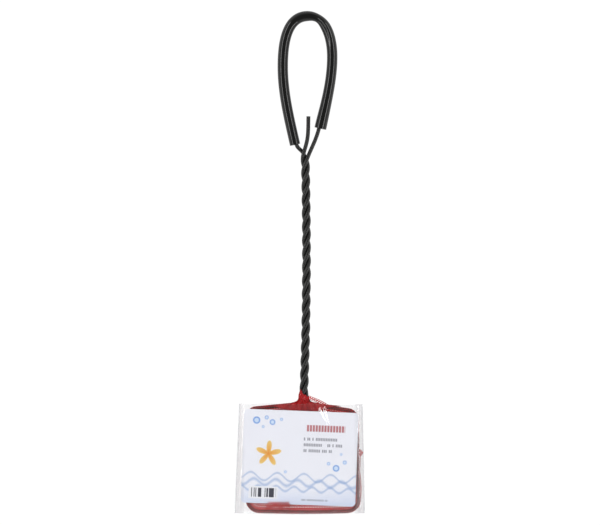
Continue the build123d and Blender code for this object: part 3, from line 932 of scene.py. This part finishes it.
def lay_tuft(flat):
    """A tuft of netting beside the right side of the hoop, wrapped round a small egg."""
    around_egg = 2 * np.pi * flat[:, 0] / TUFT_CLOTH[0]
    latitude = np.radians(160) * (flat[:, 1] / TUFT_CLOTH[1] - 0.5)
    crumple = 1 + 0.12 * np.sin(3 * around_egg + 4 * latitude)
    x = TUFT_MIDDLE[0] + TUFT_RADII[0] * crumple * np.cos(latitude) * np.cos(around_egg)
    y = TUFT_MIDDLE[1] + TUFT_RADII[1] * crumple * np.sin(latitude)
    z = HOOP_Z + TUFT_RADII[2] * crumple * np.cos(latitude) * np.sin(around_egg)
    return np.stack([x, y, z], axis=1)


def add_scrap(name, length, width, lay, hole=SCRAP_HOLE):
    """A narrow sheet of netting, laid by a formula."""
    flat, faces = knit(*net_cells(length, width, SCRAP_SIDE, hole))
    return add_piece(name, lay(flat), faces, netting, "net", "red_netting", wall=NET_WALL)


scraps = [
    add_scrap("selvedge", SELVEDGE_LENGTH, SELVEDGE_WIDTH, lay_selvedge),
    add_scrap("side_strip", STRIP_TOP - STRIP_FOOT, STRIP_WIDTH, lay_strip),
    add_scrap("side_tuft", *TUFT_CLOTH, lay_tuft, TUFT_HOLE),
    add_scrap("turned_up_fold", FLAP_RIGHT - FLAP_LEFT, FLAP_TOP - FLAP_FOOT, lay_flap),
]
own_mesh(scraps[-1])

# %% [markdown]
# ## The packet
#
# The packet is thin clear film, welded down both sides, folded at its foot and open towards the handle.
# One sheet runs from the mouth over the top to the foot, turns there and comes back underneath, and
# its two layers meet at both welds. Creases are tents along short lines. The largest has flanks steep
# enough to mirror a softbox up to the camera.

# %% Clear packet
FILM_WALL = 0.1
MOUTH_Y, MOUTH_RISE = 36.1, 0.5
FOOT_Y, FOOT_LIFT = -36.25, 1.1
MOUTH_LEFT, MOUTH_RIGHT = -42.3, 38.55
FOOT_LEFT, FOOT_RIGHT = -45.3, 40.0
WELD_WIDTH = 1.1
WELD_GAP = 0.06
SIDE_ROUNDING = 3.4
FOOT_ROUNDING = 3.6
FILM_TOP = float(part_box("packet_film")[1].z) / MM - FILM_WALL
FILM_BOTTOM = 0.06
FILM_TOP_ROWS, FILM_BOTTOM_ROWS, FILM_COLUMNS = 170, 60, 200
FILM_MIDDLE = -2.9
EDGE_HAZE_FROM, EDGE_HAZE_TO, EDGE_HAZE = 35.7, 39.2, 0.11
FOOT_HAZE_FROM, FOOT_HAZE_TO, FOOT_HAZE = -24.0, -34.0, 0.028
RUBBED_HAZE = 0.008
STRAIGHT_GLOSS, GRAZING_GLOSS = 0.036, 0.9
CREASES = (
    # from x, y, to x, y, half width at the first and at the last end, slope of both flanks
    (11.9, 32.9, 17.9, 18.8, 2.7, 0.4, 0.46),
    (-39.5, 34.5, -34.0, 26.0, 2.2, 0.6, 0.2),
    (-41.4, 8.0, -38.6, -24.0, 1.2, 0.6, 0.22),
    (33.0, 33.5, 36.0, 8.0, 1.2, 0.6, 0.2),
    (-30.0, -28.4, -6.0, -29.6, 2.4, 2.4, 0.16),
    (20.0, -33.0, 37.0, -24.0, 1.6, 0.6, 0.2),
    (-12.0, 35.5, -4.0, 30.0, 1.4, 0.4, 0.2),
)


def crease_height(x, y):
    """Sum of the creases: a tent over each line, slope (half width - distance), with a worn ridge."""
    total = np.zeros_like(x)
    for from_x, from_y, to_x, to_y, first_half, last_half, slope in CREASES:
        run = np.array([to_x - from_x, to_y - from_y])
        long = np.linalg.norm(run)
        along = ((x - from_x) * run[0] + (y - from_y) * run[1]) / long**2
        across = ((x - from_x) * run[1] - (y - from_y) * run[0]) / long
        half_width = first_half + (last_half - first_half) * np.clip(along, 0, 1)
        past_end = long * np.maximum(np.maximum(-along, along - 1), 0)
        distance = np.sqrt(across**2 + past_end**2 + 0.04)
        total = total + slope * np.maximum(half_width - distance, 0)
    return total


def rounding(distance, reach):
    """Height share of a sheet that leaves an edge as a quarter circle and goes flat after a reach."""
    share = np.clip(distance / reach, 0, 1)
    return np.sqrt(1 - (1 - share) ** 2)


def lay_film():
    """Rows of points from the mouth over the top to the foot, and back underneath to the mouth."""
    down = np.concatenate([np.linspace(0, 1, FILM_TOP_ROWS), np.linspace(1, 0, FILM_BOTTOM_ROWS)])[:, None]
    upper = np.arange(len(down))[:, None] < FILM_TOP_ROWS
    share = np.linspace(0, 1, FILM_COLUMNS)[None]
    left = MOUTH_LEFT + (FOOT_LEFT - MOUTH_LEFT) * down
    right = MOUTH_RIGHT + (FOOT_RIGHT - MOUTH_RIGHT) * down
    x = left + (right - left) * share
    mouth = MOUTH_Y + MOUTH_RISE * (1 - 2 * share) + 0.35 * np.sin(0.21 * x)
    foot = FOOT_Y + FOOT_LIFT * (2 * share - 1) ** 2
    y = mouth + (foot - mouth) * down
    from_weld = np.minimum(x - left, right - x) - WELD_WIDTH
    swell = rounding(from_weld, SIDE_ROUNDING) * rounding(y - foot - 0.2, FOOT_ROUNDING)
    crease = crease_height(x, y)
    ripple = (0.05 * np.sin(0.9 * x + 0.5 * y) + 0.04 * np.sin(1.7 * y - 0.6 * x)) * np.exp(-8 * crease)
    top = HOOP_Z + WELD_GAP / 2 + (FILM_TOP - HOOP_Z) * swell
    top = top + (crease + ripple) * smooth_step(from_weld / 3)
    bottom = HOOP_Z - WELD_GAP / 2 - (HOOP_Z - FILM_BOTTOM) * swell
    weld_wave = 0.12 * np.sin(0.8 * y) * (1 - smooth_step(from_weld / 2))
    return np.stack([x, y, np.where(upper, top, bottom) + weld_wave], axis=-1)


def clear_film():
    """Clear film: mostly see-through, hazy where it is welded and rubbed, glossy all over."""
    film = Finish("clear_film")
    x = film.add("ShaderNodeSeparateXYZ", output="X", Vector=film.place)
    y = film.add("ShaderNodeSeparateXYZ", output="Y", Vector=film.place)
    from_middle = film.sum("ABSOLUTE", film.sum("SUBTRACT", x, FILM_MIDDLE * MM))
    edge = film.ramp(from_middle, EDGE_HAZE_FROM * MM, EDGE_HAZE_TO * MM)
    foot = film.ramp(y, FOOT_HAZE_FROM * MM, FOOT_HAZE_TO * MM, 0.0, FOOT_HAZE)
    rubbed = film.ramp(film.noise(90.0, 3.0), 0.45, 0.75, 0.0, RUBBED_HAZE)
    film.set(Base_Color=(0.8, 0.8, 0.82, 1), Roughness=0.45)
    tint = film.blend(edge, (0.996, 0.996, 0.998, 1), (0.957, 0.957, 0.961, 1))
    haze = film.sum("MULTIPLY_ADD", edge, EDGE_HAZE, film.sum("ADD", rubbed, foot))
    hazy = film.mix(haze, film.add("ShaderNodeBsdfTransparent", Color=tint), film.surface.outputs[0])
    grazing = film.sum("POWER", film.add("ShaderNodeLayerWeight", output="Facing", Blend=0.5), 5.0)
    gloss = film.add("ShaderNodeBsdfGlossy", Color=(1, 1, 1, 1), Roughness=0.12)
    shiny = film.mix(film.sum("MULTIPLY_ADD", grazing, GRAZING_GLOSS, STRAIGHT_GLOSS), hazy, gloss)
    film.put(film.tree.nodes["Material Output"].inputs["Surface"], shiny)
    return film.made


film_faces = grid_faces(FILM_TOP_ROWS + FILM_BOTTOM_ROWS, FILM_COLUMNS)
add_piece(
    "packet", lay_film(), film_faces, clear_film(), "packet", "clear_film", ["packet_film"], FILM_WALL
)
print("packet mouth in mm", MOUTH_RIGHT - MOUTH_LEFT)

# %% [markdown]
# ## The card
#
# A printed card lies on the net. Its solid is right as it is, so only its finish is new. The print is
# a generic one: pale blue water, bubbles, a yellow sea star, rows of plain strokes where words would
# be, and a block of bars. It is drawn by node arithmetic on the card's own axes.

# %% Finish of the card
CARD_CENTRE = (-2.7, 1.05)
CARD_TURN = np.radians(-2.2)
BUBBLES = (
    # u, v from the middle of the card, radius
    (-29.0, 23.5, 2.6), (-22.5, 25.5, 1.5), (-18.6, 22.6, 2.1), (-12.8, 24.6, 1.2), (-24.6, 19.4, 1.1),
    (24.0, -6.0, 2.4), (29.5, -2.0, 1.5), (27.0, 3.2, 1.0), (19.0, -3.2, 1.3), (-9.0, -9.5, 1.1),
)
STAR_MIDDLE = (-20.5, 2.0)
STAR_REACH, STAR_ARMS, STAR_TURN = 9.0, 5.0, 0.3
RED_INK, GREY_INK, PALE_INK = (0.42, 0.02, 0.03, 1), (0.2, 0.2, 0.24, 1), (0.28, 0.3, 0.38, 1)
STROKES = (
    # v of the row, its height, left and right end, stroke width, colour
    (19.5, 4.2, 2.0, 29.0, 1.9, RED_INK),
    (12.4, 1.9, 2.0, 24.0, 1.1, GREY_INK),
    (8.6, 1.9, 2.0, 28.0, 1.1, GREY_INK),
    (4.8, 1.9, 2.0, 21.0, 1.1, GREY_INK),
    (-27.4, 1.2, 2.0, 20.0, 0.8, PALE_INK),
)
RIPPLES = (
    # v of the line, half height of its wave, waves per millimetre, shift, half width
    (-13.0, 2.6, 0.0575, 0.4, 0.7),
    (-16.6, 2.0, 0.07, 1.9, 1.1),
    (-20.6, 1.6, 0.085, 3.1, 0.8),
)
WATER_SLANT, WATER_SWIRL = 0.1, 20.0
WATER_DEEP, WATER_PALE = -23.0, -7.0
BARS_LEFT, BARS_RIGHT = -32.5, -13.5
BARS_LOW, BARS_HIGH = -27.5, -19.5
BAR_WIDTH, BAR_SEED = 0.55, 40.0


def printed_card():
    """Coated card with a print worked out from its own axes, in millimetres from its middle."""
    card = Finish("printed_card")
    centre = (CARD_CENTRE[0] * MM, CARD_CENTRE[1] * MM, 0)
    own_axes = card.add("ShaderNodeMapping", settings={"vector_type": "TEXTURE"}, Vector=card.place,
                        Location=centre, Rotation=(0, 0, CARD_TURN), Scale=(MM, MM, MM))
    u = card.add("ShaderNodeSeparateXYZ", output="X", Vector=own_axes)
    v = card.add("ShaderNodeSeparateXYZ", output="Y", Vector=own_axes)

    def between(value, low, high, soft):
        """Share that is one between low and high, with soft ends."""
        rise = card.ramp(value, low - soft, low + soft)
        return card.sum("MULTIPLY", rise, card.ramp(value, high + soft, high - soft))

    def reach(middle):
        """Distance from a place on the card."""
        across = card.sum("SUBTRACT", u, middle[0])
        up = card.sum("SUBTRACT", v, middle[1])
        square = card.sum("MULTIPLY_ADD", across, across, card.sum("MULTIPLY", up, up))
        return card.sum("SQRT", square)

    def blocks(width, seed):
        """Uneven blocks along u: each is there or not by chance."""
        steps = card.sum("DIVIDE", u, width)
        chance = card.add("ShaderNodeTexWhiteNoise", output="Value", settings={"noise_dimensions": "1D"},
                          W=card.sum("ADD", card.sum("FLOOR", steps), seed))
        return chance, card.sum("FRACT", steps)

    depth = card.sum("MULTIPLY_ADD", u, -WATER_SLANT, v)
    depth = card.sum("MULTIPLY_ADD", card.noise(28.0, 3.0), WATER_SWIRL, depth)
    water = card.ramp(depth, WATER_DEEP, WATER_PALE)
    tone = card.blend(water, (0.66, 0.73, 0.9, 1), (0.88, 0.89, 0.95, 1))
    for level, swing, waves, shift, half_width in RIPPLES:
        wave = card.sum("SINE", card.sum("MULTIPLY_ADD", u, 2 * np.pi * waves, shift))
        above = card.sum("ABSOLUTE", card.sum("SUBTRACT", v, card.sum("MULTIPLY_ADD", wave, swing, level)))
        tone = card.blend(card.ramp(above, half_width * 1.6, 0.0, 0.0, 0.6), tone, (0.2, 0.36, 0.66, 1))
    for x, y, radius in BUBBLES:
        away = reach((x, y))
        tone = card.blend(card.ramp(away, radius, radius - 0.5), tone, (0.16, 0.36, 0.78, 1))
        tone = card.blend(card.ramp(away, radius * 0.75, radius * 0.4), tone, (0.66, 0.78, 0.95, 1))
    from_star = card.sum("SUBTRACT", u, STAR_MIDDLE[0])
    turn = card.sum("ARCTAN2", card.sum("SUBTRACT", v, STAR_MIDDLE[1]), from_star)
    wave = card.sum("SINE", card.sum("MULTIPLY_ADD", turn, STAR_ARMS, STAR_TURN))
    arm = card.sum("MULTIPLY_ADD", wave, 0.34, 0.62)
    star = card.sum("DIVIDE", reach(STAR_MIDDLE), card.sum("MULTIPLY", arm, STAR_REACH))
    star_tone = card.blend(card.ramp(star, 0.0, 1.0), (0.82, 0.3, 0.03, 1), (0.86, 0.62, 0.2, 1))
    tone = card.blend(card.ramp(star, 1.03, 0.94), tone, star_tone)
    for level, tall, left, right, width, ink in STROKES:
        chance, part = blocks(width, level)
        rows = between(v, level - tall / 2, level + tall / 2, 0.15)
        row = card.sum("MULTIPLY", rows, between(u, left, right, 0.1))
        body = card.sum("MULTIPLY", between(part, 0.1, 0.85, 0.08), card.ramp(chance, 0.17, 0.2, 0.0, 0.8))
        tone = card.blend(card.sum("MULTIPLY", row, body), tone, ink)
    panel_along = between(u, BARS_LEFT, BARS_RIGHT, 0.1)
    panel = card.sum("MULTIPLY", panel_along, between(v, BARS_LOW, BARS_HIGH, 0.1))
    tone = card.blend(panel, tone, (0.87, 0.88, 0.92, 1))
    chance = blocks(BAR_WIDTH, BAR_SEED)[0]
    bars_along = between(u, BARS_LEFT + 1.2, BARS_RIGHT - 1.2, 0.05)
    bars = card.sum("MULTIPLY", bars_along, between(v, BARS_LOW + 1, BARS_HIGH - 1, 0.05))
    bars = card.sum("MULTIPLY", bars, card.ramp(chance, 0.48, 0.5))
    tone = card.blend(bars, tone, (0.05, 0.05, 0.07, 1))
    card.set(Base_Color=tone, Roughness=card.ramp(card.noise(700.0, 2.0), 0.3, 0.7, 0.34, 0.46))
    card.bump(card.noise(1500.0, 2.0), 0.00001)
    return card.made


card_finish = printed_card()
refinish("insert_card", card_finish)
print("card finish has", len(card_finish.node_tree.nodes), "nodes")
